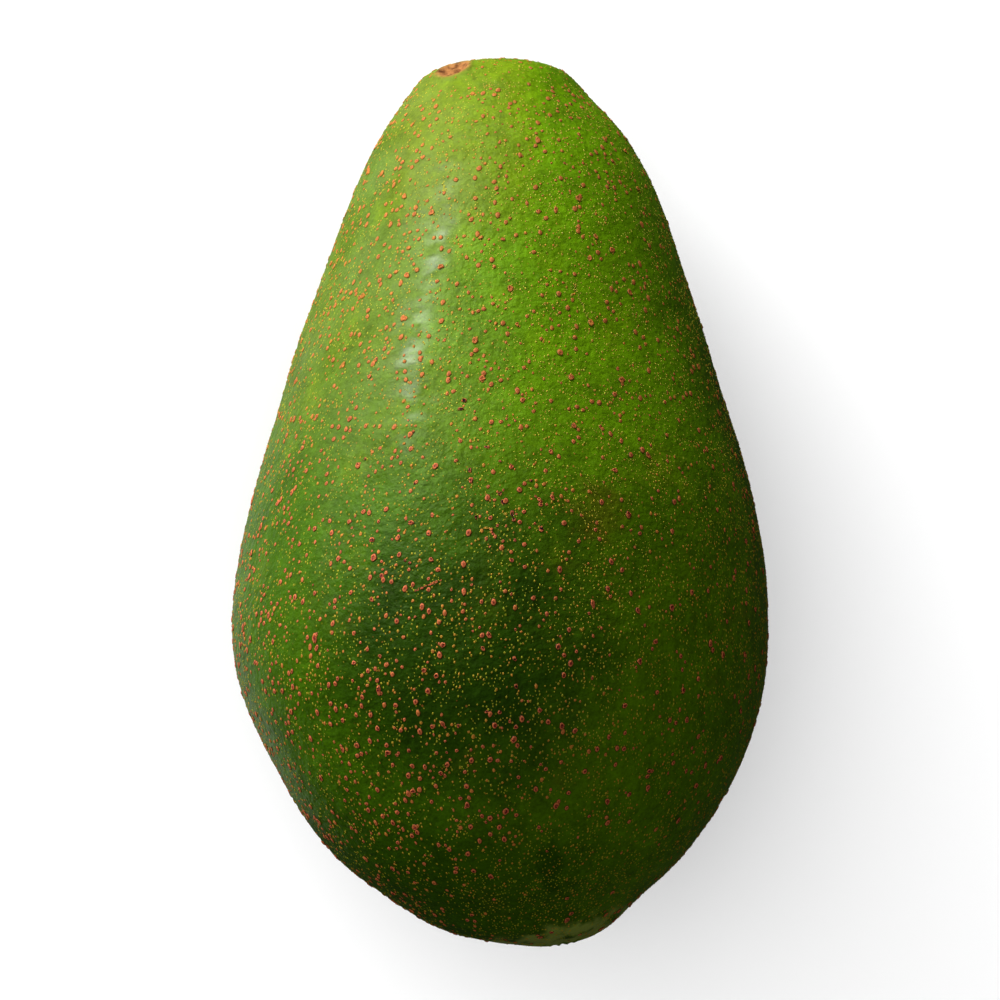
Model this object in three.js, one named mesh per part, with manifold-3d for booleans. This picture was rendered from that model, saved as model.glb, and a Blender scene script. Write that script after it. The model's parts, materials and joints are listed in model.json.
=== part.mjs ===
// A whole avocado, as picked, lying on its side. It grew as one piece, so it is one solid: a pear-shaped
// fruit with the corky scar of its stalk, the pinhead scar of its flower at the other end, and the largest of
// the raised corky pores (lenticels) of its skin.
// Millimetres. +Y runs to the stem end, +X to the right, +Z up. The origin is the middle of the small flat
// spot that the fruit rests on, straight below its centre of mass.
import * as THREE from "three";
import { mergeVertices } from "three/addons/utils/BufferGeometryUtils.js";
import Module from "manifold-3d";

const wasm = await Module();
wasm.setup();

// The fruit's size and how it lies.
const LENGTH = 120;
const THICKNESS = 0.96; // height of a section against its width
const REST_FROM_STEM = 65.8; // distance of the flat spot from the stem end
const FLAT_SPOT_DEPTH = 0.5; // how much of the belly the flat spot takes off
const LEAN = THREE.MathUtils.degToRad(9); // the neck is thinner than the belly, so the stem end lies lower

// The outline from above, as callipers read it: distance from the stem end, half width, and how far the
// middle of the section lies to the right.
const SECTIONS = [
  [1.5, 8.2, -0.3],
  [5, 12, -0.2],
  [10, 15.9, 0.3],
  [20, 21.1, 1],
  [32, 25.4, 0.9],
  [46, 29.9, 0.5],
  [60, 34, 0.4],
  [72, 36, 0],
  [82, 36, 0],
  [92, 33.4, 0.7],
  [102, 28.1, 1.1],
  [110, 21.3, 1.4],
  [115, 15.1, 2.1],
  [118.5, 9.6, 3.2],
];
const CROWN = { radius: 27, shift: -0.1 }; // rounding of the stem end, and where its middle is
const TIP = { radius: 34, shift: 3.7 }; // the same for the flower end

// No section is quite an ellipse: number of lobes, share of the radius, turn at the crown, twist to the tip.
const LOBES = [
  [2, 0.006, 0.9, 1.1],
  [3, 0.008, 2.7, -0.8],
  [5, 0.004, 0.8, 2.3],
];

// The skin's mesh.
const RINGS = 36;
const SIDES = 48;

// Places round the fruit are angles, with 0 on the right and 90 degrees on top.
// The stalk's scar is a shallow pit in a corky ring.
const STALK_SCAR = {
  fromStem: 2,
  round: THREE.MathUtils.degToRad(131),
  pit: 2.1,
  depth: 0.8,
  ring: 2.5,
  cord: 0.6,
  proud: 0.25, // how far the ring stands out of the skin
  sides: 20,
};
// The flower's scar is a pinhead pit in a low ring.
const FLOWER_SCAR = {
  fromStem: LENGTH - 0.35,
  round: THREE.MathUtils.degToRad(15),
  pit: 0.8,
  depth: 0.7,
  ring: 1.3,
  cord: 0.5,
  proud: 0.2,
  sides: 10,
};

// The largest corky pores.
const PORES = {
  count: 250,
  seed: 20,
  sides: 5,
  radius: [0.4, 0.58],
  height: [0.2, 0.3],
  root: 0.4, // how far a pore goes on below the skin
  longer: 0.4, // the most that a pore is drawn out along the fruit
  apart: 2.8,
  clearOfRest: 2, // no pores below this height
  clearOfScars: 5.5,
  fullest: 70, // where a step along the fruit covers the most skin, measured from the stem end
};

// A smooth curve through the points (at[i], value[i]), a natural cubic spline.
function naturalSpline(at, value) {
  const last = at.length - 1;
  const step = at.slice(1).map((a, i) => a - at[i]);
  const slope = step.map((h, i) => (value[i + 1] - value[i]) / h);
  const bend = new Array(last + 1).fill(0);
  const carry = new Array(last + 1).fill(0);
  for (let i = 1; i < last; i++) {
    const pivot = 2 * (step[i - 1] + step[i]) - step[i - 1] * carry[i - 1];
    carry[i] = step[i] / pivot;
    bend[i] = (6 * (slope[i] - slope[i - 1]) - step[i - 1] * bend[i - 1]) / pivot;
  }
  for (let i = last - 1; i > 0; i--) bend[i] -= carry[i] * bend[i + 1];
  return (x) => {
    let i = 0;
    while (i < last - 1 && x > at[i + 1]) i++;
    const before = at[i + 1] - x;
    const after = x - at[i];
    return (
      (bend[i] * before ** 3 + bend[i + 1] * after ** 3) / (6 * step[i]) +
      (value[i] / step[i] - (bend[i] * step[i]) / 6) * before +
      (value[i + 1] / step[i] - (bend[i + 1] * step[i]) / 6) * after
    );
  };
}

// A place along the fruit is an angle, 0 at the crown and pi at the tip, so that both ends come out round:
// the half width is the sine of that angle times a fullness that changes slowly.
const along = (fromStem) => Math.acos(1 - (2 * fromStem) / LENGTH);
const endFullness = (radius) => Math.sqrt((radius * LENGTH) / 2);
const stations = [0, ...SECTIONS.map(([fromStem]) => along(fromStem)), Math.PI];
const fullness = naturalSpline(stations, [
  endFullness(CROWN.radius),
  ...SECTIONS.map(([fromStem, half]) => half / Math.sin(along(fromStem))),
  endFullness(TIP.radius),
]);
const shift = naturalSpline(stations, [
  CROWN.shift,
  ...SECTIONS.map(([, , right]) => right),
  TIP.shift,
]);
const halfWidth = (a) => fullness(a) * Math.sin(a);

// A point of a section, from the section's middle, at angle b round it.
function sectionPoint(a, b) {
  let lobed = 0;
  for (const [lobes, share, turn, twist] of LOBES) lobed += share * Math.cos(lobes * b + turn + twist * a);
  const radius = halfWidth(a) * (1 + lobed * Math.sin(a) ** 2);
  return { right: radius * Math.cos(b), up: radius * THICKNESS * Math.sin(b) };
}

const restAngle = along(REST_FROM_STEM);
const restHeight = -sectionPoint(restAngle, -Math.PI / 2).up - FLAT_SPOT_DEPTH;

// The skin at angle a along the fruit and angle b round it.
function skinPoint(a, b) {
  const { right, up } = sectionPoint(a, b);
  const y = REST_FROM_STEM - (LENGTH / 2) * (1 - Math.cos(a));
  const middleHeight = restHeight - y * Math.tan(LEAN);
  return new THREE.Vector3(shift(a) - shift(restAngle) + right, y, middleHeight + up);
}

// A frame on the skin, with its Y out of the fruit and its X along it towards the tip.
function skinFrame(a, b) {
  const nudge = 1e-4;
  const origin = skinPoint(a, b);
  const down = skinPoint(a + nudge, b).sub(skinPoint(a - nudge, b)).normalize();
  const across = skinPoint(a, b + nudge).sub(skinPoint(a, b - nudge)).normalize();
  const out = across.clone().cross(down).normalize();
  const side = down.clone().cross(out);
  return new THREE.Matrix4().makeBasis(down, out, side).setPosition(origin);
}

// A ring of points for each step from crown to tip, closed at both ends by one point.
function skinGeometry() {
  const points = [skinPoint(0, 0)];
  for (let ring = 1; ring < RINGS; ring++)
    for (let side = 0; side < SIDES; side++)
      points.push(skinPoint((Math.PI * ring) / RINGS, (2 * Math.PI * side) / SIDES));
  points.push(skinPoint(Math.PI, 0));
  const tip = points.length - 1;
  const at = (ring, side) => 1 + (ring - 1) * SIDES + (side % SIDES);
  const faces = [];
  for (let side = 0; side < SIDES; side++) {
    faces.push(0, at(1, side + 1), at(1, side));
    for (let ring = 1; ring < RINGS - 1; ring++) {
      faces.push(at(ring, side), at(ring, side + 1), at(ring + 1, side + 1));
      faces.push(at(ring, side), at(ring + 1, side + 1), at(ring + 1, side));
    }
    faces.push(at(RINGS - 1, side), at(RINGS - 1, side + 1), tip);
  }
  return new THREE.BufferGeometry().setFromPoints(points).setIndex(faces);
}

// A closed three.js geometry as a solid that can be joined and cut.
function solidOf(geometry) {
  geometry.deleteAttribute("normal");
  geometry.deleteAttribute("uv");
  const merged = mergeVertices(geometry, 1e-4);
  return new wasm.Manifold(
    new wasm.Mesh({
      numProp: 3,
      vertProperties: merged.getAttribute("position").array,
      triVerts: new Uint32Array(merged.index.array),
    }),
  );
}

// And back again, with flat facets.
function geometryOf(solid) {
  const { vertProperties, triVerts } = solid.getMesh();
  const geometry = new THREE.BufferGeometry();
  geometry.setAttribute("position", new THREE.BufferAttribute(vertProperties, 3));
  geometry.setIndex(new THREE.BufferAttribute(triVerts, 1));
  geometry.computeVertexNormals();
  return geometry;
}

// A shape turned round the axis that points out of the skin, from its [radius, height] profile.
const turned = (profile, sides) =>
  new THREE.LatheGeometry(
    profile.map(([radius, height]) => new THREE.Vector2(radius, height)),
    sides,
  );

// A scar is cut into the skin as a bowl, and then a ring of cork is set round the bowl's rim.
function addScar(fruit, { fromStem, round, pit, depth, ring, cord, proud, sides }) {
  const frame = skinFrame(along(fromStem), round);
  const bowl = [[0, -depth], [0.7 * pit, -0.75 * depth], [pit, 0.3], [1.2 * pit, 2], [0, 2]];
  const collar = [
    [ring - cord, -cord],
    [ring + cord, -cord],
    [ring + 0.7 * cord, 0],
    [ring, proud],
    [ring - 0.7 * cord, 0],
    [ring - cord, -cord],
  ];
  return fruit
    .subtract(solidOf(turned(bowl, sides).applyMatrix4(frame)))
    .add(solidOf(turned(collar, sides).applyMatrix4(frame)));
}

// A random draw from 0 to 1 that gives the same run each time.
function seeded(seed) {
  let state = seed;
  return () => {
    state = (Math.imul(state, 1664525) + 1013904223) >>> 0;
    return state / 2 ** 32;
  };
}

const between = ([low, high], share) => low + (high - low) * share;

// The skin that a small step along the fruit and a small step round it cover, per step.
function skinArea(a) {
  const nudge = 1e-3;
  const widening = (halfWidth(a + nudge) - halfWidth(a - nudge)) / (2 * nudge);
  return halfWidth(a) * Math.hypot(widening, (LENGTH / 2) * Math.sin(a));
}

// One pore, as two pyramids base to base, the lower one buried.
function pore(frame, size, drawnOut) {
  const radius = between(PORES.radius, size);
  const height = between(PORES.height, size);
  return new THREE.SphereGeometry(1, PORES.sides, 2)
    .scale(radius * drawnOut, (height + PORES.root) / 2, radius)
    .translate(0, (height - PORES.root) / 2, 0)
    .applyMatrix4(frame);
}

// The pores are drawn at random, evenly over the skin, and kept apart.
function addPores(fruit) {
  const draw = seeded(PORES.seed);
  const mostArea = skinArea(along(PORES.fullest));
  const scars = [STALK_SCAR, FLOWER_SCAR].map(({ fromStem, round }) => skinPoint(along(fromStem), round));
  const placed = [];
  while (placed.length < PORES.count) {
    const a = draw() * Math.PI;
    const b = draw() * 2 * Math.PI;
    const [share, size, stretch] = [draw(), draw(), draw()];
    const point = skinPoint(a, b);
    const near = (others, gap) => others.some((other) => point.distanceTo(other) < gap);
    if (share * mostArea > skinArea(a) || point.z < PORES.clearOfRest) continue;
    if (near(scars, PORES.clearOfScars) || near(placed, PORES.apart)) continue;
    placed.push(point);
    fruit = fruit.add(solidOf(pore(skinFrame(a, b), size, 1 + PORES.longer * stretch)));
  }
  return fruit;
}

// The flat spot: everything below the floor is taken off.
function cutFlat(fruit) {
  const floor = new THREE.BoxGeometry(2 * LENGTH, 2 * LENGTH, LENGTH).translate(0, 0, -LENGTH / 2);
  return fruit.subtract(solidOf(floor));
}

function avocado() {
  let fruit = solidOf(skinGeometry());
  fruit = addScar(fruit, STALK_SCAR);
  fruit = addScar(fruit, FLOWER_SCAR);
  fruit = addPores(fruit);
  const mesh = new THREE.Mesh(
    geometryOf(cutFlat(fruit)),
    new THREE.MeshStandardMaterial({ color: 0x4f6f12, roughness: 0.42, metalness: 0 }),
  );
  mesh.name = "avocado";
  return mesh;
}

const part = new THREE.Group();
part.name = "whole_avocado";
part.add(avocado());

export default part;
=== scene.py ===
# An avocado lying on its side on a pale floor, seen from straight above with its stem end at the top.
# Each section's sizes are millimetres, and MM turns them into Blender's metres.
import json

import bpy
import numpy as np
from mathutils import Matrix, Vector, noise
from mathutils.bvhtree import BVHTree

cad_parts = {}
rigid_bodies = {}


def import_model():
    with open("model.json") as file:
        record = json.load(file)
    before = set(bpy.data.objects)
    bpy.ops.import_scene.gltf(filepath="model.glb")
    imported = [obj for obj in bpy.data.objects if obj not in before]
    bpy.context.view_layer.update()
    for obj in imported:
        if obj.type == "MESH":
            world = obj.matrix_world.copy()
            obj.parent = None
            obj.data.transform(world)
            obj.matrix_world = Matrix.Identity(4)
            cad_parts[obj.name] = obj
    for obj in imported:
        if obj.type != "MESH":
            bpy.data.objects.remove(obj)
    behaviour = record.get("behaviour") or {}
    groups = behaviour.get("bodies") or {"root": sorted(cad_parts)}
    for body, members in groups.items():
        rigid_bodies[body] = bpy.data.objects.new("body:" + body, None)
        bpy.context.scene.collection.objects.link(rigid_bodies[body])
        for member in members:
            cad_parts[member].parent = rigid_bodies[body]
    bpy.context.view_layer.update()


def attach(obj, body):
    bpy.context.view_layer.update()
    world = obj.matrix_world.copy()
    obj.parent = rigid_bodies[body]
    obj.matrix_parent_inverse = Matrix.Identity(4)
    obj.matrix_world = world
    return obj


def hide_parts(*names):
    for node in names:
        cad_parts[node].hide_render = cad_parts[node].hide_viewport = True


bpy.ops.wm.read_factory_settings(use_empty=True)
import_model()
MM = 0.001

# ---------------------------------------------------------------------------------------------------------
# The fruit's form: a pear shape turned about a gently bent line, with the stem end leaning down to the floor.
# It grew freely, so its flanks differ and no section is quite an ellipse.
LENGTH = 120
THICKNESS = 0.96  # height of a section against its width
REST_FROM_STEM = 65.8  # distance of the flat spot from the stem end
FLAT_SPOT_DEPTH = 0.5
LEAN = np.radians(9)
SECTIONS = np.array(  # distance from the stem end, half width, and how far the middle lies to the right
    [
        [1.5, 8.2, -0.3],
        [5, 12, -0.2],
        [10, 15.9, 0.3],
        [20, 21.1, 1],
        [32, 25.4, 0.9],
        [46, 29.9, 0.5],
        [60, 34, 0.4],
        [72, 36, 0],
        [82, 36, 0],
        [92, 33.4, 0.7],
        [102, 28.1, 1.1],
        [110, 21.3, 1.4],
        [115, 15.1, 2.1],
        [118.5, 9.6, 3.2],
    ]
)
CROWN_RADIUS, CROWN_SHIFT = 27, -0.1
TIP_RADIUS, TIP_SHIFT = 34, 3.7
LOBES = [(2, 0.006, 0.9, 1.1), (3, 0.008, 2.7, -0.8), (5, 0.004, 0.8, 2.3)]  # lobes, share, turn, twist


def natural_spline(at, value):
    """A smooth curve through the points, with no bend at its ends."""
    at, value = np.array(at, float), np.array(value, float)
    step = np.diff(at)
    slope = np.diff(value) / step
    system = np.eye(len(at))
    pull = np.zeros(len(at))
    for i in range(1, len(at) - 1):
        system[i, i - 1 : i + 2] = step[i - 1], 2 * (step[i - 1] + step[i]), step[i]
        pull[i] = 6 * (slope[i] - slope[i - 1])
    bend = np.linalg.solve(system, pull)

    def curve(x):
        i = np.clip(np.searchsorted(at, x) - 1, 0, len(step) - 1)
        before, after, span = at[i + 1] - x, x - at[i], step[i]
        cubic = (bend[i] * before**3 + bend[i + 1] * after**3) / (6 * span)
        start = value[i] / span - bend[i] * span / 6
        end = value[i + 1] / span - bend[i + 1] * span / 6
        return cubic + start * before + end * after

    return curve


def along(from_stem):
    """The angle along the fruit, 0 at the crown and pi at the tip, of a place measured from the stem end."""
    return np.arccos(1 - 2 * np.asarray(from_stem) / LENGTH)


stations = np.concatenate([[0], along(SECTIONS[:, 0]), [np.pi]])
end_fullness = [np.sqrt(radius * LENGTH / 2) for radius in (CROWN_RADIUS, TIP_RADIUS)]
fullness = natural_spline(
    stations,
    [end_fullness[0], *(SECTIONS[:, 1] / np.sin(along(SECTIONS[:, 0]))), end_fullness[1]],
)
shift = natural_spline(stations, [CROWN_SHIFT, *SECTIONS[:, 2], TIP_SHIFT])
rest_angle = along(REST_FROM_STEM)


def section_radius(a, b):
    """Distance from a section's middle to its edge, before the section is flattened."""
    lobed = sum(share * np.cos(lobes * b + turn + twist * a) for lobes, share, turn, twist in LOBES)
    return fullness(a) * np.sin(a) * (1 + lobed * np.sin(a) ** 2)


rest_height = section_radius(rest_angle, -np.pi / 2) * THICKNESS - FLAT_SPOT_DEPTH


def form(a, b):
    """The smooth skin at angle a along the fruit and b round it. b is 0 on the right and pi / 2 on top."""
    radius = section_radius(a, b)
    y = REST_FROM_STEM - LENGTH / 2 * (1 - np.cos(a))
    x = shift(a) - shift(rest_angle) + radius * np.cos(b)
    z = rest_height - y * np.tan(LEAN) + radius * THICKNESS * np.sin(b)
    return np.stack(np.broadcast_arrays(x, y, z), axis=-1)


def form_frame(a, b):
    """Three directions on the smooth skin: along the fruit to the tip, out of it, and round it."""
    nudge = 1e-4
    down = form(a + nudge, b) - form(a - nudge, b)
    across = form(a, b + nudge) - form(a, b - nudge)
    out = np.cross(across, down)
    down, out = (v / np.linalg.norm(v, axis=-1, keepdims=True) for v in (down, out))
    return down, out, np.cross(down, out)


# ---------------------------------------------------------------------------------------------------------
# The two scars: dry cork where the stalk broke off, a pit in a broken ring, and the pinhead pit of the flower
# at the tip, with the skin puckered round it. Both are sunk into the skin's mesh, because they are skin.
STALK_SCAR = {
    "from_stem": 2,
    "round": np.radians(131),
    "edge": 3.1,  # radius of the cork
    "ring": 2.5,  # radius of the raised ring
    "ring_width": 0.6,
    "proud": 0.25,  # height of the ring
    "pit": 0.6,  # depth
    "stump": 1.1,  # radius
    "stump_height": 0.4,
}
FLOWER_SCAR = {
    "from_stem": LENGTH - 0.35,
    "round": np.radians(15),
    "ring": 1.5,
    "ring_width": 0.5,
    "proud": 0.2,
    "pit": 1.1,
    "depth": 1,
    "pucker": 10,  # how far the folds reach
    "folds": 9,
    "fold_height": 0.22,
    "pale_and_gleam": (14, 7),  # how far the paler skin and painted rim reflection round it reach, and how far they are palest
}


def smooth_step(value, low, high):
    share = np.clip((value - low) / (high - low), 0, 1)
    return share * share * (3 - 2 * share)


def round_scar(points, scar):
    """Distance of each point from a scar's middle, and its bearing there."""
    a, b = along(scar["from_stem"]), scar["round"]
    down, out, side = form_frame(a, b)
    offset = points - form(a, b)
    return np.linalg.norm(offset, axis=-1), np.arctan2(offset @ side, offset @ down)


def roughness(points, size):
    """A smooth random value from -1 to 1 at each point, with lumps of that size."""
    return np.array([noise.noise(Vector(point) / size) for point in points])


def raised_ring(distance, scar):
    return scar["proud"] * np.exp(-(((distance - scar["ring"]) / scar["ring_width"]) ** 2))


def stalk_scar(points):
    """Height of the stalk's scar, and how corky each point is."""
    distance, bearing = round_scar(points, STALK_SCAR)
    distance = distance * (1 + 0.2 * roughness(points, 1.8) + 0.05 * np.sin(3 * bearing + 1))
    pit = -STALK_SCAR["pit"] * smooth_step(distance, STALK_SCAR["ring"] - 0.2, 1)
    stump = STALK_SCAR["stump_height"] * smooth_step(distance, STALK_SCAR["stump"], 0.4)
    dry = smooth_step(distance, STALK_SCAR["edge"], STALK_SCAR["edge"] - 1.1)
    crumbs = 0.1 * roughness(points, 0.5) + 0.1 * roughness(points, 1)
    return raised_ring(distance, STALK_SCAR) + pit + stump + dry * crumbs, dry


def flower_scar(points):
    """Height of the flower's scar, and how corky each point is."""
    distance, bearing = round_scar(points, FLOWER_SCAR)
    pit = -FLOWER_SCAR["depth"] * smooth_step(distance, FLOWER_SCAR["pit"] * 1.5, FLOWER_SCAR["pit"] * 0.5)
    folds = FLOWER_SCAR["fold_height"] * np.sin(FLOWER_SCAR["folds"] * bearing + 2.5 * roughness(points, 4))
    pucker = folds * smooth_step(distance, 0.8, 2) * smooth_step(distance, FLOWER_SCAR["pucker"], 2)
    return raised_ring(distance, FLOWER_SCAR) + pit + pucker, 0.7 * smooth_step(distance, 1.7, 0.9)


# ---------------------------------------------------------------------------------------------------------
# The skin: leathery and waxy, pale yellow-green at the neck and deep green on the belly. It is one closed
# mesh of rings from crown to tip, with slow swells and a fine pebbling of its own.
RINGS, SIDES = 288, 320
SWELLS = [(26, 0.45), (11, 0.16), (4.5, 0.06), (2.2, 0.03)]  # size of a lump and its height
CONTACT = 0.12  # how softly the flat spot turns into the belly
POLE_GAP = 1e-3  # angle from the very ends to the points there: an end itself has no way round the fruit


def skin_height(points):
    """How far the skin stands out of the smooth form at each point, and how corky it is there."""
    swell = sum(height * roughness(points + 7 * size, size) for size, height in SWELLS)
    stalk, stalk_dry = stalk_scar(points)
    flower, flower_dry = flower_scar(points)
    return swell + stalk + flower, np.maximum(stalk_dry, flower_dry)


def resting(points):
    """The points, with those that would be in the floor pressed flat on it."""
    z = points[:, 2]
    points[:, 2] = (z + np.sqrt(z * z + CONTACT**2)) / 2
    return points


angles_a, angles_b = np.meshgrid(
    np.pi * np.arange(1, RINGS) / RINGS,
    2 * np.pi * np.arange(SIDES) / SIDES,
    indexing="ij",
)
angles_a = np.concatenate([[POLE_GAP], angles_a.ravel(), [np.pi - POLE_GAP]])
angles_b = np.concatenate([[0], angles_b.ravel(), [0]])
smooth = form(angles_a, angles_b)
height, dry = skin_height(smooth)
points = resting(smooth + form_frame(angles_a, angles_b)[1] * height[:, None])

last = len(points) - 1
grid = 1 + np.arange((RINGS - 1) * SIDES).reshape(RINGS - 1, SIDES)
turned = np.roll(grid, -1, axis=1)
quads = np.stack([grid[:-1], turned[:-1], turned[1:], grid[1:]], axis=-1).reshape(-1, 4)
faces = quads.tolist()
faces += [(0, after, here) for here, after in zip(grid[0], turned[0])]
faces += [(here, after, last) for here, after in zip(grid[-1], turned[-1])]


def mesh_piece(name, points, faces):
    """A smooth-shaded object from points in millimetres."""
    mesh = bpy.data.meshes.new(name)
    mesh.from_pydata((points * MM).tolist(), [], faces)
    mesh.polygons.foreach_set("use_smooth", [True] * len(mesh.polygons))
    piece = bpy.data.objects.new(name, mesh)
    bpy.context.collection.objects.link(piece)
    return piece


def store(mesh, name, values):
    """Give each point of a mesh a number of its own."""
    mesh.attributes.new(name, "FLOAT", "POINT").data.foreach_set("value", values)


skin = mesh_piece("skin", points, faces)
store(skin.data, "cork", dry)
# The pucker attribute holds the paler skin round the tip, which also carries a painted rim reflection.
store(skin.data, "pucker", smooth_step(round_scar(smooth, FLOWER_SCAR)[0], *FLOWER_SCAR["pale_and_gleam"]))


class Wire:
    """A socket in a tree of nodes. Python's operators on it add Math nodes."""

    def __init__(self, nodes, socket):
        self.nodes, self.socket = nodes, socket

    def math(self, operation, first, second):
        return self.nodes.node("ShaderNodeMath", {"operation": operation}, {0: first, 1: second})

    def __add__(self, other):
        return self.math("ADD", self, other)

    def __sub__(self, other):
        return self.math("SUBTRACT", self, other)

    def __rsub__(self, other):
        return self.math("SUBTRACT", other, self)

    def __mul__(self, other):
        return self.math("MULTIPLY", self, other)

    def __pow__(self, other):
        return self.math("POWER", self, other)

    __radd__, __rmul__ = __add__, __mul__


class Nodes:
    """A tree of nodes."""

    def __init__(self, tree):
        self.tree = tree

    def node(self, kind, settings, sockets, output=0):
        """Add a node, with its settings first and then values or wires for its sockets."""
        made = self.tree.nodes.new(kind)
        for name, value in settings.items():
            setattr(made, name, value)
        for name, value in sockets.items():
            if isinstance(value, Wire):
                self.tree.links.new(value.socket, made.inputs[name])
            else:
                made.inputs[name].default_value = value
        return Wire(self, made.outputs[output]) if made.outputs else None

    def scaled(self, vector, factor):
        """A vector or a colour times a number."""
        return self.node("ShaderNodeVectorMath", {"operation": "SCALE"}, {0: vector, "Scale": factor})


class Finish(Nodes):
    """A material, with its place on the object in millimetres."""

    def __init__(self, name):
        self.material = bpy.data.materials.new(name)
        self.material.use_nodes = True
        super().__init__(self.material.node_tree)
        self.tree.nodes.clear()
        metres = self.node("ShaderNodeTexCoord", {}, {}, "Object")
        self.place = self.scaled(metres, 1 / MM)

    def attribute(self, name):
        return self.node("ShaderNodeAttribute", {"attribute_name": name}, {}, "Fac")

    def step(self, value, low, high):
        """0 at low and 1 at high, with a smooth rise between them."""
        sockets = {"Value": value, "From Min": low, "From Max": high, "To Min": 0, "To Max": 1}
        return self.node("ShaderNodeMapRange", {"interpolation_type": "SMOOTHSTEP"}, sockets)

    def mix(self, share, first, second):
        """A colour between two others."""
        return self.node("ShaderNodeMix", {"data_type": "RGBA"}, {0: share, 6: first, 7: second}, 2)

    def lumps(self, size, detail=2, stretch=(1, 1, 1), seed=0):
        """A smooth random value around 0, from about -1 to 1, whose lumps have that size."""
        sockets = {0: self.place, 1: [1 / length for length in stretch], 2: (seed, 0, 0)}
        place = self.node("ShaderNodeVectorMath", {"operation": "MULTIPLY_ADD"}, sockets)
        sockets = {"Vector": place, "Scale": 1 / size, "Detail": detail}
        return 3 * (self.node("ShaderNodeTexNoise", {}, sockets, "Fac") - 0.5)


def colour(red, green, blue):
    """A colour as the eye reads it, from 0 to 255, as the light it sends back."""
    share = np.array([red, green, blue]) / 255
    light = np.where(share <= 0.04045, share / 12.92, ((share + 0.055) / 1.055) ** 2.4)
    return (*light, 1)


waxy = Finish("waxy_skin")
x, y, z = (waxy.node("ShaderNodeSeparateXYZ", {}, {0: waxy.place}, axis) for axis in "XYZ")


def gone_from(middle, reach):
    """How far the skin is from a place, squared, in shares of a reach along each axis."""
    squared = 0
    for place, centre, length in zip((x, y, z), middle, reach):
        away = (place - centre) * (1 / length)
        squared = squared + away * away
    return squared


# The neck fades into the belly, and both are yellower on the right. The belly has a dark flush on its upper
# side, and painted shade darkens its underside, its right flank, its end left of the tip and a small dent.
LEFT_NECK, RIGHT_NECK, SUNNED = colour(84, 110, 12), colour(93, 136, 4), colour(132, 130, 10)
LEFT_BELLY, RIGHT_BELLY, FLUSH_AND_SHADE = colour(58, 94, 2), colour(68, 101, 2), colour(32, 59, 1)
FLUSH_MIDDLE, FLUSH_REACH = (-4, -14, 66), (17, 18, 30)
DENT_SHADE_MIDDLE, DENT_SHADE_REACH = (6.3, -42), (2.5, 5)
rightward = waxy.step(x + 5 * waxy.lumps(12, seed=70), -14, 6)
neck_to_belly = waxy.step(y + 6 * waxy.lumps(18), 30, 0)
neck = waxy.mix(rightward, LEFT_NECK, RIGHT_NECK)
sunned = waxy.step((x + 5) * (x + 5), 140, 30) * waxy.step(y + 4 * waxy.lumps(10, seed=72), 35, 50)
neck = waxy.mix(0.25 * sunned, neck, SUNNED)
belly = waxy.mix(rightward, LEFT_BELLY, RIGHT_BELLY)
ground = waxy.mix(neck_to_belly, neck, belly)
ragged = 0.5 * waxy.lumps(14) + 0.35 * waxy.lumps(5, 4, seed=75)
flush_and_shade = waxy.step(gone_from(FLUSH_MIDDLE, FLUSH_REACH) + ragged, 1.7, 0.1)
# Painted shade: the underside and the right flank, away from the window, are darkened towards the flush.
underside_shade = waxy.step(z - 0.35 * y - 0.6 * x + 8 * waxy.lumps(22, seed=40), 32, 8) * waxy.step(y, 60, 10)
# Painted shade: the belly grows darker towards its end, left of the tip, where less light reaches.
end = waxy.step(y + 3 * waxy.lumps(8, seed=45), -30, -42) * waxy.step(x, 20, 6)
# Painted shade: a dark spot stands for the shadow in a small dent near the tip, which the skin's shape lacks.
dent_shade = waxy.step(gone_from(DENT_SHADE_MIDDLE, DENT_SHADE_REACH) + 0.6 * waxy.lumps(2, 3, seed=47), 1.3, 0)
for shade in (0.85 * underside_shade, 0.6 * end, 0.9 * dent_shade):
    flush_and_shade = flush_and_shade.math("MAXIMUM", flush_and_shade, shade)
ground = waxy.mix(flush_and_shade, ground, FLUSH_AND_SHADE)

# Mottling: olive blotches, two patches of russet, lime blotches on the upper half, faint streaks along the
# fruit, and cells of paler and darker green.
OLIVE, RUSSET, LIME = colour(84, 76, 8), colour(92, 52, 10), colour(124, 148, 8)
RUSSET_PATCHES = [((20.8, 9.2), 3, 0.15), ((12.5, 3.4), 4.5, 0.3)]  # middle, radius and strength
blotch = waxy.step(waxy.lumps(9, 4, seed=90), 0.3, 1)
ground = waxy.mix(0.4 * blotch, ground, OLIVE)
for middle, reach, strength in RUSSET_PATCHES:
    patch = gone_from(middle, (reach, reach)) + 0.9 * waxy.lumps(2.2, 4, seed=middle[0])
    ground = waxy.mix(strength * waxy.step(patch, 1.2, 0) * waxy.step(z, 35, 45), ground, RUSSET)
bright = waxy.step(waxy.lumps(6, 5, stretch=(1, 2, 1), seed=120), 0.1, 1) * waxy.step(y, -25, 15)
ground = waxy.mix(0.4 * bright, ground, LIME)
streaks = waxy.lumps(1.6, 3, stretch=(1, 9, 1), seed=15)
mottle = waxy.lumps(4.5, 5, seed=30)
cells, grain = waxy.lumps(0.9, 2, seed=60), waxy.lumps(0.35, 2, seed=65)
tone = 1 + 0.15 * streaks + 0.3 * mottle + 0.24 * cells + 0.24 * grain
ground = waxy.scaled(ground, tone)

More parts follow.
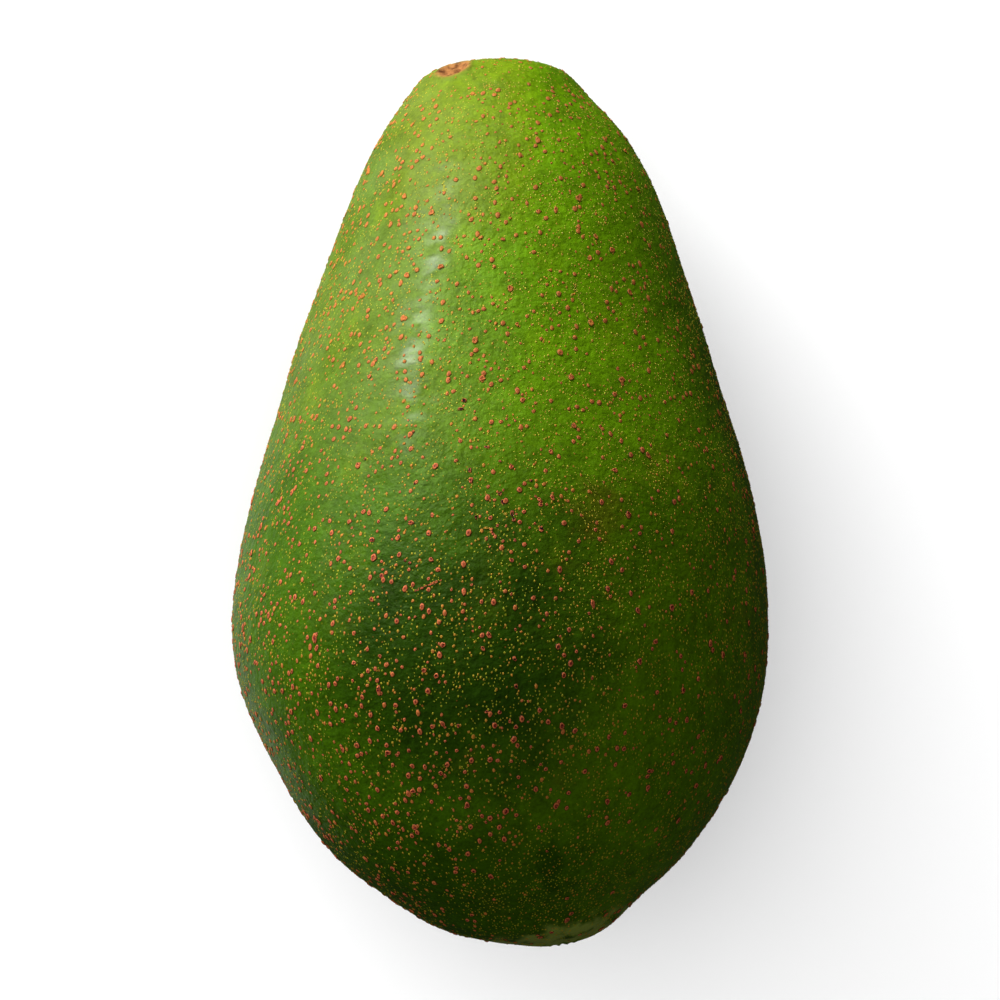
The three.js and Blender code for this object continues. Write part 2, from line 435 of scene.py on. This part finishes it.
# Pores too fine to stand out of the skin are dots of ochre and of orange, in loose clusters.
OCHRE, RUST = colour(150, 150, 34), colour(160, 96, 40)
FINE_GAP = 0.62  # about how far apart they are
cell = {"Vector": waxy.place, "Scale": 1 / FINE_GAP}
speck = waxy.node("ShaderNodeTexVoronoi", {"feature": "F1"}, cell, "Distance")
lot = waxy.node("ShaderNodeTexVoronoi", {"feature": "F1"}, cell, "Color")
lots = [waxy.node("ShaderNodeSeparateXYZ", {}, {0: lot}, axis) for axis in "XYZ"]
speck = waxy.step(speck - 0.24 * lots[0] * lots[0], 0.05, -0.03)
speck = speck * waxy.step(waxy.lumps(3, 2, seed=110), -0.45, 0.3)
ground = waxy.mix(0.75 * speck, ground, waxy.mix(waxy.step(lots[1], 0.6, 0.8), OCHRE, RUST))

# A pale bloom of wax, partly painted sheen, lies in patches on the left of the neck, and the puckered skin
# round the tip is paler, partly a painted rim reflection.
BLOOM_AND_SHEEN, PUCKERED_AND_GLEAM = colour(146, 172, 108), colour(136, 150, 62)
bloom_and_sheen = waxy.step(waxy.lumps(7, 5, stretch=(1, 1.6, 1), seed=130), -0.9, 0.9) * waxy.step(y, -5, 40)
ground = waxy.mix(0.22 * bloom_and_sheen * waxy.step(x, 6, -16), ground, BLOOM_AND_SHEEN)
# Painted reflection: the pale band round the tip stands partly for the gleam of the paper in its rim.
puckered_and_gleam = waxy.step(waxy.attribute("pucker") * (1 + 1.5 * waxy.lumps(2.2, 6, seed=140)), 0.2, 1.1)
ground = waxy.mix(0.8 * puckered_and_gleam, ground, PUCKERED_AND_GLEAM)

# The scars are dry cork, darkest in their pits.
CORK, OLD_CORK = colour(168, 114, 66), colour(88, 48, 28)
cork_colour = waxy.mix(waxy.step(waxy.lumps(0.8, 4, seed=5), -0.3, 0.7), CORK, OLD_CORK)
corky = waxy.attribute("cork")
ground = waxy.mix(corky, ground, cork_colour)

# The wax is thin and dull, except where handling has rubbed it to a shine.
RUBBED_SPOTS = [((-8.6, 40.5), 3), ((-9, 37), 3), ((-12, 28), 2.5), ((-11.8, 24.6), 3), ((-12.2, 21), 3)]
EVEN_GLEAM, SPOT_GLEAM = 0.035, 0.025  # of the wax all over, and what a rubbed spot adds to it
relief = 0.5 * waxy.lumps(0.6, 3) + waxy.lumps(1.5, 3, seed=3)
bump = waxy.node("ShaderNodeBump", {}, {"Strength": 0.6, "Distance": 0.16 * MM, "Height": relief}, "Normal")
scuffs = waxy.step(waxy.lumps(1.8, 6, stretch=(2, 1, 1), seed=160), -0.5, 0.9)
rubbed = EVEN_GLEAM
for middle, reach in RUBBED_SPOTS:
    spot = gone_from(middle, (reach, reach)) + 0.8 * waxy.lumps(2, 3, seed=middle[0])
    rubbed = rubbed + SPOT_GLEAM * waxy.step(spot, 1.6, 0)
shader = waxy.node(
    "ShaderNodeBsdfPrincipled",
    {},
    {
        "Base Color": ground,
        "Roughness": 0.5 + 0.06 * waxy.lumps(3, 3, seed=7) + 0.3 * corky,
        "Specular IOR Level": 0.05,
        "Specular Tint": colour(220, 255, 150),
        "Coat Weight": (rubbed * scuffs + 0.1 * puckered_and_gleam) * (1 - corky),
        "Coat Roughness": 0.22,
        "Normal": bump,
    },
)
waxy.node("ShaderNodeOutputMaterial", {}, {"Surface": shader})
skin.data.materials.append(waxy.material)
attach(skin, "root")
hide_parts("avocado")

# ---------------------------------------------------------------------------------------------------------
# The corky pores: small warts of cork that the skin breathes through. A young one is an ochre bead. It swells
# into an orange dome, and its crown then sinks and splits, leaving a salmon ring round a dark red core.
NO_LOWER = 2  # height below which there are none
# Each ring's radius and height, and how far up the crown it is, from skirt to crown. A top has no radius.
CRATER_RINGS = [(1.3, -0.5, 0), (1.1, 0.05, 0), (0.88, 0.45, 0.45), (0.6, 0.52, 0.6), (0.34, 0.34, 1)]
CRATER_TOP = (0.25, 1)
DOME_RINGS = [(1.4, -0.5, 0), (1.25, 0.04, 0.05), (0.8, 0.48, 0.4)]
DOME_TOP = (0.5, 1)
BEAD_RINGS = [(1.3, -0.2, 0)]
BEAD_TOP = (0.6, 0.8)
FLATTENING = 0.8  # of all the heights, against the radius
CRUMB = 0.3  # size of the crumbs that roughen a pore


def dome_shapes(name, rings, top, sides, count):
    """A collection of closed domes of about unit radius, each with a wavy outline of its own, and with an
    attribute that rises from skirt to crown."""
    shapes = bpy.data.collections.new(name)
    draw = np.random.default_rng(count + sides)
    turns = 2 * np.pi * np.arange(sides) / sides
    around = [(i, (i + 1) % sides) for i in range(sides)]
    rim = (len(rings) - 1) * sides
    faces = [tuple(reversed(range(sides)))]
    for low in range(0, rim, sides):
        faces += [(low + i, low + j, low + sides + j, low + sides + i) for i, j in around]
    faces += [(rim + i, rim + j, rim + sides) for i, j in around]
    crown = [share for _, _, share in rings for _ in turns] + [top[1]]
    for number in range(count):
        waves = [draw.uniform(0.05, 0.3) / k * np.cos(k * turns + draw.uniform(0, 6)) for k in (1, 2, 3)]
        across, ahead = (1 + sum(waves)) * (np.cos(turns), np.sin(turns))
        outline = list(zip(across, ahead))
        corners = [(radius * i, radius * j, height) for radius, height, _ in rings for i, j in outline]
        mesh = bpy.data.meshes.new(f"{name}_{number}")
        mesh.from_pydata([*corners, (0, 0, top[0])], [], faces)
        store(mesh, "crown", crown)
        mesh.materials.append(warty.material)
        shapes.objects.link(bpy.data.objects.new(f"{name}_{number}", mesh))
    return shapes


class Growth(Nodes):
    """Geometry Nodes that set a dome on each of many points, upright on the skin and longest along the fruit.
    Its settings are in metres."""

    def __init__(self, name, inputs):
        super().__init__(bpy.data.node_groups.new(name, "GeometryNodeTree"))
        self.tree.interface.new_socket("Skin", in_out="INPUT", socket_type="NodeSocketGeometry")
        common = {"Shapes": "Collection", "Roughness": "Float", "Material": "Material"}
        for label, kind in (common | inputs).items():
            self.tree.interface.new_socket(label, in_out="INPUT", socket_type="NodeSocket" + kind)
        self.tree.interface.new_socket("Pores", in_out="OUTPUT", socket_type="NodeSocketGeometry")
        self.given = self.tree.nodes.new("NodeGroupInput")

    def input(self, label):
        return Wire(self, self.given.outputs[label])

    def draw(self, low, high, seed):
        sockets = {2: low, 3: high, "Seed": seed}
        return self.node("FunctionNodeRandomValue", {"data_type": "FLOAT"}, sockets, 1)

    def between(self, low, high, share):
        return self.input(low) + share * (self.input(high) - self.input(low))

    def named(self, name, kind):
        return self.node("GeometryNodeInputNamedAttribute", {"data_type": kind}, {"Name": name})

    def facing(self, rotation, axis, vector, pivot="AUTO"):
        settings = {"axis": axis, "pivot_axis": pivot}
        sockets = {"Rotation": rotation, "Vector": vector}
        return self.node("FunctionNodeAlignRotationToVector", settings, sockets)

    def grow(self, points, out, radius, stretch, age):
        """Set the domes on the points, as one mesh that knows each dome's age."""
        upright = self.facing((0, 0, 0), "Z", out)
        lengthwise = self.facing(upright, "Y", (0, 1, 0), "Z")
        size = self.node("ShaderNodeCombineXYZ", {}, {0: radius, 1: radius * stretch, 2: FLATTENING * radius})
        sockets = {"Collection": self.input("Shapes"), "Separate Children": True, "Reset Children": True}
        shapes = self.node("GeometryNodeCollectionInfo", {}, sockets)
        sockets = {"Points": points, "Instance": shapes, "Pick Instance": True}
        sockets |= {"Rotation": lengthwise, "Scale": size}
        domes = self.node("GeometryNodeInstanceOnPoints", {}, sockets)
        settings = {"data_type": "FLOAT", "domain": "INSTANCE"}
        sockets = {"Geometry": domes, "Name": "age", "Value": age}
        domes = self.node("GeometryNodeStoreNamedAttribute", settings, sockets)
        domes = self.node("GeometryNodeRealizeInstances", {}, {"Geometry": domes})
        sockets = {"Vector": self.node("GeometryNodeInputPosition", {}, {}), "Scale": 1 / (CRUMB * MM)}
        rough = self.node("ShaderNodeTexNoise", {}, sockets, "Color")
        rough = self.node("ShaderNodeVectorMath", {"operation": "SUBTRACT"}, {0: rough, 1: (0.5, 0.5, 0.5)})
        rough = self.scaled(rough, self.input("Roughness"))
        domes = self.node("GeometryNodeSetPosition", {}, {"Geometry": domes, "Offset": rough})
        sockets = {"Geometry": domes, "Material": self.input("Material")}
        domes = self.node("GeometryNodeSetMaterial", {}, sockets)
        self.node("NodeGroupOutput", {}, {"Pores": domes})


def grown(name, source, growth, values):
    """The mesh that a growth makes from a source, as a piece of its own."""
    modifier = source.modifiers.new(name, "NODES")
    modifier.node_group = growth.tree
    for item in growth.tree.interface.items_tree:
        if item.in_out == "INPUT" and item.name in values:
            modifier[item.identifier] = values[item.name]
    evaluated = source.evaluated_get(bpy.context.evaluated_depsgraph_get())
    mesh = bpy.data.meshes.new_from_object(evaluated)
    source.modifiers.remove(modifier)
    mesh.polygons.foreach_set("use_smooth", [True] * len(mesh.polygons))
    piece = bpy.data.objects.new(name, mesh)
    bpy.context.collection.objects.link(piece)
    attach(piece, "root")
    return piece


warty = Finish("corky_pores")
age, crown = warty.attribute("age"), warty.attribute("crown")
LOW_BEAD, NECK_BEAD = colour(152, 152, 34), colour(188, 184, 60)
ORANGE, SALMON = colour(190, 124, 44), colour(208, 112, 64)
YOUNG_SKIRT, OLD_SKIRT_SHADE = colour(100, 108, 14), colour(46, 28, 8)
CORE, SPLIT = colour(112, 26, 30), colour(38, 8, 12)
on_neck = warty.step(warty.node("ShaderNodeSeparateXYZ", {}, {0: warty.place}, "Y"), -5, 35)
tint = warty.mix(warty.step(age, 0.15, 0.4), warty.mix(on_neck, LOW_BEAD, NECK_BEAD), ORANGE)
tint = warty.mix(warty.step(age, 0.35, 0.65) * (1 - 0.45 * on_neck), tint, SALMON)
on_right = warty.step(warty.node("ShaderNodeSeparateXYZ", {}, {0: warty.place}, "X"), -14, 8)
# Painted shade: an older pore's foot is ringed with dark brown for the shade where it meets the skin.
skirt_and_shade = warty.mix(warty.step(age, 0.2, 0.6) * (1 - 0.8 * on_neck), YOUNG_SKIRT, OLD_SKIRT_SHADE)
tint = warty.mix(warty.step(crown, 0.34, 0.1), tint, skirt_and_shade)
old_crown = warty.step(crown, 0.45, 0.75) * warty.step(age, 0.4, 0.75) * (1 - 0.7 * on_neck)
tint = warty.mix(old_crown * warty.step(warty.lumps(0.3, 2, seed=4), -0.8, 0.2), tint, CORE)
splits = warty.step(warty.lumps(0.35, 2) + 0.7 * (age - 1), 0.3, 0.55)
tint = warty.mix(warty.step(crown, 0.2, 0.5) * splits * warty.step(age, 0.4, 0.8), tint, SPLIT)
# Random tone, and painted shade: the pores on the right flank are darker, away from the window.
tone_and_right_shade = (1 + 0.3 * warty.lumps(0.3, 2, seed=8)) * (1 - 0.05 * on_neck) * (1 - 0.22 * on_right)
tint = warty.scaled(tint, tone_and_right_shade)
warty_shader = {"Base Color": tint, "Roughness": 0.6, "Specular IOR Level": 0.05}
warty_surface = warty.node("ShaderNodeBsdfPrincipled", {}, warty_shader)
warty.node("ShaderNodeOutputMaterial", {}, {"Surface": warty_surface})

craters = dome_shapes("craters", CRATER_RINGS, CRATER_TOP, 10, 6)
domes = dome_shapes("domes", DOME_RINGS, DOME_TOP, 7, 5)
beads = dome_shapes("beads", BEAD_RINGS, BEAD_TOP, 5, 3)

# ---------------------------------------------------------------------------------------------------------
# The largest pores. Most are spread by chance, by the same draws as in the solid. The rest are set one by one
# where the camera sees them, and so are a few scabs and scratches where cork has healed a wound.
LARGE = {
    "count": 250,
    "seed": 20,
    "radius": (0.4, 0.58),
    "longer": 0.4,  # how much longer than wide they may be
    "apart": 2.8,
    "clear": 5.5,  # distance from the scars
    "fullest": 70,  # distance of the widest skin from the stem end
    "age_seed": 5,
}
RIM = 0.68  # radius of a pore's rim against the radius given for it, which takes in its skirt


def seeded(seed):
    """A run of random draws from 0 to 1, the same each time."""
    state = seed
    while True:
        state = (state * 1664525 + 1013904223) % 2**32
        yield state / 2**32


def skin_area(a, nudge=1e-3):
    """The skin that a small step along the fruit and a small step round it cover, per step."""
    before, here, after = (fullness(angle) * np.sin(angle) for angle in (a - nudge, a, a + nudge))
    return here * np.hypot((after - before) / (2 * nudge), LENGTH / 2 * np.sin(a))


def near(point, others, gap):
    return any(np.linalg.norm(point - other) < gap for other in others)


def large_pores():
    """Place, radius and stretch of each of the largest pores that are spread by chance."""
    draw = seeded(LARGE["seed"])
    most_area = skin_area(along(LARGE["fullest"]))
    scars = [form(along(scar["from_stem"]), scar["round"]) for scar in (STALK_SCAR, FLOWER_SCAR)]
    placed = []
    while len(placed) < LARGE["count"]:
        a, b = next(draw) * np.pi, next(draw) * 2 * np.pi
        share, size, stretch = next(draw), next(draw), next(draw)
        point = form(a, b)
        if share * most_area > skin_area(a) or point[2] < NO_LOWER:
            continue
        if near(point, scars, LARGE["clear"]) or near(point, [pore[0] for pore in placed], LARGE["apart"]):
            continue
        radius = LARGE["radius"][0] + size * np.ptp(LARGE["radius"])
        placed.append((point, radius, 1 + LARGE["longer"] * stretch))
    return placed


surface = BVHTree.FromPolygons([Vector(point) for point in points], faces)
pores = []  # place, way out of the skin, radius and stretch
for point, radius, stretch in large_pores():
    pores.append((*surface.find_nearest(Vector(point))[:2], radius, stretch))

MIDDLE = (0, 5, 34)  # of the fruit
CAMERA_AT = (-0.1, 4.85, 594)  # it looks straight down
VIEW_WIDTH, VIEW_PIXELS = 135, 1000  # width of what it sees at the height of the fruit's middle
# Column and row where the camera sees each pore that is listed, with its radius, stretch and age. Those
# older than 1 have dried and split until they are nearly black.
BY_HAND = [
    (315, 638, 0.6, 1.5, 0.95), (317, 648, 0.38, 1.6, 0.95), (308, 637, 0.34, 1.2, 0.95),
    (464, 401, 0.52, 0.8, 1.6), (461, 409, 0.52, 0.7, 1.6), (470, 470, 0.34, 1.5, 1.6),
    (471, 480, 0.45, 1.3, 1.6), (500, 494, 0.38, 1, 1.6), (503, 502, 0.34, 1.6, 1.6),
    (512, 514, 0.34, 2, 1.6), (514, 520, 0.38, 1, 1.6), (407, 275, 0.6, 1, 0.95),
    (593, 604, 0.45, 1.7, 0.95), (575, 731, 0.52, 1, 0.95), (495, 725, 0.45, 1.2, 0.95),
    (541, 530, 0.41, 1.5, 1.6), (261, 527, 0.45, 2, 0.95), (358, 465, 0.52, 1.2, 0.95),
    (379, 690, 0.52, 1.7, 0.95), (556, 210, 0.38, 2, 0.95), (538, 140, 0.52, 1.5, 0.95),
    (243, 629, 0.45, 2, 0.95), (296, 381, 0.45, 2, 0.95), (388, 752, 0.56, 0.8, 0.95),
    (397, 755, 0.38, 0.8, 0.95), (411, 523, 0.55, 0.8, 1.25), (564, 675, 0.45, 1.2, 0.95),
    (357, 746, 0.56, 1, 0.95), (413, 791, 0.52, 1, 0.95), (503, 239, 0.45, 0.7, 0.95),
    (441, 773, 0.45, 1, 0.95), (649, 771, 0.41, 1.2, 0.95), (360, 209, 0.41, 2, 0.95),
    (369, 377, 0.45, 1, 0.95), (441, 267, 0.56, 1, 0.95), (615, 470, 0.52, 0.9, 0.95),
    (601, 427, 0.38, 1, 0.95), (583, 410, 0.38, 0.9, 0.95), (512, 560, 0.41, 1, 0.95),
    (424, 671, 0.45, 1, 0.95), (354, 663, 0.45, 1, 0.95), (372, 599, 0.45, 1, 0.95),
    (382, 576, 0.45, 1, 0.95), (329, 685, 0.41, 1.4, 0.95), (253, 500, 0.68, 1.4, 0.95),
    (495, 65, 0.35, 1, 0.5), (541, 68, 0.35, 1, 0.5), (588, 104, 0.4, 1.6, 0.6),
    (538, 935, 0.45, 0.6, 0.9), (551, 932, 0.4, 0.6, 0.9), (547, 851, 0.3, 1, 1),
    (283, 406, 0.3, 1.5, 0.1), (486, 447, 0.3, 1, 1.6), (500, 461, 0.28, 1, 1.6),
    (476, 517, 0.28, 1.4, 1.6), (495, 537, 0.28, 1.3, 1.6), (515, 540, 0.26, 1, 1.6),
    (531, 481, 0.3, 1, 1.5), (410, 563, 0.3, 1, 1.6), (405, 560, 0.25, 1, 1.4), (340, 597, 0.3, 1, 1.6),
    (313, 585, 0.25, 1, 1.5), (500, 712, 0.4, 1, 1.5), (458, 726, 0.35, 1, 1.4), (487, 712, 0.3, 1, 1.4),
    (515, 659, 0.35, 1, 1.4), (516, 686, 0.35, 1.2, 1.3), (516, 727, 0.4, 1, 1), (540, 710, 0.4, 1.2, 1),
    (432, 727, 0.4, 1, 1), (443, 645, 0.45, 1.2, 1), (483, 648, 0.4, 1, 1.3), (380, 656, 0.35, 1, 0.9),
    (413, 432, 0.3, 1, 1.6), (415, 483, 0.3, 1, 1.6), (365, 459, 0.32, 1, 1.5),
    (372, 540, 0.5, 1.1, 1.25),
]
SCAB_SEED = 31
SCAB_WOBBLE = 1.5  # width in pixels that a row of grains wavers over
GRAIN_GAP = 1.1  # from grain to grain, against the radius of one
# A scab or a scratch from one column and row to another, with the radius of its grains and its age.
SCABS = [
    (536, 497, 541, 503, 0.35, 0.8), (541, 504, 546, 505, 0.35, 0.8), (484, 528, 491, 529, 0.2, 0.3),
    (416, 590, 434, 583, 0.22, 0.7), (434, 583, 440, 580, 0.25, 0.6), (491, 529, 495, 537, 0.25, 0.8),
    (574, 285, 588, 318, 0.13, 0.1), (443, 177, 444, 190, 0.19, 0), (588, 480, 597, 493, 0.12, 0.1),
]


def seen_at(column, row):
    """Where the camera's ray through a pixel meets the skin, and the way out of it there."""
    size = VIEW_WIDTH / VIEW_PIXELS
    across, up = (column - VIEW_PIXELS / 2) * size, (VIEW_PIXELS / 2 - row) * size
    way = Vector((across, up, MIDDLE[2] - CAMERA_AT[2])).normalized()
    return surface.ray_cast(Vector(CAMERA_AT), way)[:2]


# Of the pores spread by chance, those on the neck are the youngest.
ages = []
for share, (place, _, _, _) in zip(seeded(LARGE["age_seed"]), pores):
    ages.append(0.75 - 0.3 * smooth_step(place.y, -5, 25) + 0.25 * share)
for column, row, radius, stretch, known_age in BY_HAND:
    pores.append((*seen_at(column, row), radius, stretch))
    ages.append(known_age)
wobble = seeded(SCAB_SEED)
for from_column, from_row, to_column, to_row, radius, grain_age in SCABS:
    length = np.hypot(to_column - from_column, to_row - from_row) * VIEW_WIDTH / VIEW_PIXELS
    grains = max(2, round(length / (GRAIN_GAP * radius)))
    for share in np.linspace(0, 1, grains):
        column = from_column + share * (to_column - from_column) + SCAB_WOBBLE * (next(wobble) - 0.5)
        row = from_row + share * (to_row - from_row) + SCAB_WOBBLE * (next(wobble) - 0.5)
        pores.append((*seen_at(column, row), radius * (0.8 + 0.4 * next(wobble)), 1))
        ages.append(grain_age)

places = bpy.data.meshes.new("places")
places.from_pydata([place * MM for place, _, _, _ in pores], [], [])
ways_out = np.array([out for _, out, _, _ in pores]).ravel()
places.attributes.new("out", "FLOAT_VECTOR", "POINT").data.foreach_set("vector", ways_out)
store(places, "size", [radius for _, _, radius, _ in pores])
store(places, "stretch", [stretch for _, _, _, stretch in pores])
store(places, "age", ages)
places_piece = bpy.data.objects.new("places", places)
bpy.context.collection.objects.link(places_piece)

placed = Growth("placed_pores", {})
vertices = placed.node("GeometryNodeMeshToPoints", {}, {"Mesh": placed.input("Skin")})
size, stretch, old = (placed.named(name, "FLOAT") for name in ("size", "stretch", "age"))
placed.grow(vertices, placed.named("out", "FLOAT_VECTOR"), size * (RIM * MM), stretch, old)
values = {"Shapes": craters, "Roughness": 0.4 * MM, "Material": warty.material}
grown("large_pores", places_piece, placed, values)
bpy.data.objects.remove(places_piece)

# ---------------------------------------------------------------------------------------------------------
# The smaller pores, strewn over the skin by chance: orange and salmon domes, most crowded on the left flank,
# and ochre beads in loose clusters, most crowded on the right and near the tip.
measures = ("Gap", "Most", "Smallest", "Largest", "Youngest", "Oldest")
strewn = Growth("strewn_pores", {"Room": "String", "Seed": "Int"} | dict.fromkeys(measures, "Float"))
sockets = {"Mesh": strewn.input("Skin"), "Distance Min": strewn.input("Gap")}
sockets |= {"Density Max": strewn.input("Most"), "Seed": strewn.input("Seed")}
sockets |= {"Density Factor": strewn.named(strewn.input("Room"), "FLOAT")}
settings = {"distribute_method": "POISSON"}
points_out = strewn.node("GeometryNodeDistributePointsOnFaces", settings, sockets)
normals_out = Wire(strewn, points_out.socket.node.outputs["Normal"])
growth_share = strewn.draw(0, 1, 1) ** 2
radius = strewn.between("Smallest", "Largest", growth_share)
age_drawn = strewn.between("Youngest", "Oldest", 0.4 * growth_share + 0.6 * strewn.draw(0, 1, 3))
strewn.grow(points_out, normals_out, radius, strewn.draw(1, 1.5, 2), age_drawn)


def patch_of_skin(from_stem, bearing, edge, heart):
    """1 in the heart of a round patch of the skin, and 0 past its edge."""
    middle = form(along(from_stem), np.radians(bearing))
    return smooth_step(np.linalg.norm(smooth - middle, axis=-1), edge, heart)


# Room for pores at each point of the skin, from 0 to 1. There is none where it rests and on the scars, and
# less below than on top. Domes leave a patch on the belly nearly bare, and near the tip beads replace them.
clear = (points[:, 2] > NO_LOWER) * (0.5 + 0.5 * smooth_step(smooth[:, 2], 10, 30))
for scar in (STALK_SCAR, FLOWER_SCAR):
    clear *= smooth_step(round_scar(smooth, scar)[0], 2.5, 4.5)
leftward, low = smooth_step(smooth[:, 0], 16, -14), smooth_step(smooth[:, 1], 30, -10)
bare, beside_flower = patch_of_skin(83, 92, 7, 3), patch_of_skin(112, 80, 15, 7)
crowds = 0.4 + 0.6 * smooth_step(roughness(smooth, 6), -0.4, 0.4)
dome_room = (0.7 + 0.3 * leftward) * (1 - 0.45 * low * (1 - leftward)) * crowds
dome_room *= (1 - 0.8 * bare) * (1 - 0.9 * beside_flower)
clusters = 0.3 + 0.7 * smooth_step(roughness(smooth + 50, 2.4), -0.2, 0.25)
bead_room = (1 - 0.35 * leftward) * (0.4 + 0.6 * smooth_step(smooth[:, 2], 15, 40)) * clusters
bead_room = np.maximum(bead_room, 0.9 * beside_flower)
store(skin.data, "dome_room", dome_room * clear)
store(skin.data, "bead_room", bead_room * clear)

KINDS = {
    "medium_pores": {
        "Room": "dome_room",
        "Gap": 0.7 * MM,
        "Most": 0.66 / MM**2,
        "Smallest": 0.14 * MM,
        "Largest": 0.32 * MM,
        "Youngest": 0.25,
        "Oldest": 1.1,
        "Roughness": 0.15 * MM,
        "Seed": 4,
        "Shapes": domes,
    },
    "small_pores": {
        "Room": "bead_room",
        "Gap": 0.3 * MM,
        "Most": 3.9 / MM**2,
        "Smallest": 0.08 * MM,
        "Largest": 0.18 * MM,
        "Youngest": 0.0,
        "Oldest": 0.42,
        "Roughness": 0.03 * MM,
        "Seed": 9,
        "Shapes": beads,
    },
}
for name, inputs in KINDS.items():
    grown(name, skin, strewn, inputs | {"Material": warty.material})

for shapes in (craters, domes, beads):
    for shape in list(shapes.objects):
        bpy.data.objects.remove(shape)
    bpy.data.collections.remove(shapes)

# ---------------------------------------------------------------------------------------------------------
# The room: pale paper on a table, a wide low window beyond the stem end, a pale ceiling, a row of narrow
# panes that gleam in the wax, dark walls, and a camera that looks straight down.
SENSOR = 36

camera_data = bpy.data.cameras.new("camera")
camera_data.sensor_width = SENSOR
camera_data.lens = SENSOR * (CAMERA_AT[2] - MIDDLE[2]) / VIEW_WIDTH
camera = bpy.data.objects.new("camera", camera_data)
camera.location = Vector(CAMERA_AT) * MM
bpy.context.collection.objects.link(camera)
bpy.context.scene.camera = camera
bpy.context.scene.view_settings.view_transform = "Standard"


def direction(bearing, height):
    """The way to a bearing, in degrees anticlockwise from the right, and so many degrees above the table."""
    turn, rise = np.radians([bearing, height])
    return Vector((np.cos(rise) * np.cos(turn), np.cos(rise) * np.sin(turn), np.sin(rise)))


def area_light(name, away, distance, size, watts):
    """A rectangle of light that faces the fruit from that way."""
    light = bpy.data.lights.new(name, "AREA")
    light.shape = "RECTANGLE"
    light.size, light.size_y = np.array(size) * MM
    light.energy = watts
    lamp = bpy.data.objects.new(name, light)
    lamp.location = (Vector(MIDDLE) + away * distance) * MM
    lamp.rotation_euler = away.to_track_quat("Z", "Y").to_euler()
    bpy.context.collection.objects.link(lamp)
    return lamp


area_light("window", direction(124, 9), distance=600, size=(960, 230), watts=9)
ceiling = area_light("ceiling", direction(180, 76), distance=900, size=(2600, 3000), watts=11)
ceiling.visible_glossy = False
PANE_BEARINGS = [120.5, 123.5, 128.5, 131, 134]
for number, bearing in enumerate(PANE_BEARINGS):
    pane = area_light(f"pane_{number}", direction(bearing, 20), distance=640, size=(40, 75), watts=2)
    pane.visible_diffuse = False

# The paper gleams in the left rim of the fruit: a card of light on it, facing up, that only shows in the wax.
gleam = area_light("gleam", direction(180, -21), distance=92, size=(80, 130), watts=0.04)
gleam.rotation_euler = (np.pi, 0, 0)
gleam.visible_diffuse = False
gleam.visible_camera = False

walls = bpy.data.worlds.new("walls")
walls.use_nodes = True
wall_light = walls.node_tree.nodes["Background"]
wall_light.inputs["Color"].default_value = (1, 1, 1, 1)
wall_light.inputs["Strength"].default_value = 0.04
bpy.context.scene.world = walls

# The paper has a light of its own overhead, so that it stays pale beside the fruit, and lends the fruit none.
PAPER_REACH = 2000
floor_mesh = bpy.data.meshes.new("floor")
edge = PAPER_REACH * MM
corners = [(-edge, -edge, 0), (edge, -edge, 0), (edge, edge, 0), (-edge, edge, 0)]
floor_mesh.from_pydata(corners, [], [(0, 1, 2, 3)])
floor = bpy.data.objects.new("floor", floor_mesh)
table_top = bpy.data.collections.new("table_top")
bpy.context.scene.collection.children.link(table_top)
table_top.objects.link(floor)
floor.visible_diffuse = False
floor.visible_glossy = False
overhead = area_light("overhead", direction(90, 90), distance=900, size=(1600, 1600), watts=11)
overhead.light_linking.receiver_collection = table_top
paper = bpy.data.materials.new("paper")
paper.use_nodes = True
paper_shader = paper.node_tree.nodes["Principled BSDF"]
paper_shader.inputs["Base Color"].default_value = (0.93, 0.93, 0.93, 1)
paper_shader.inputs["Roughness"].default_value = 0.9
floor_mesh.materials.append(paper)
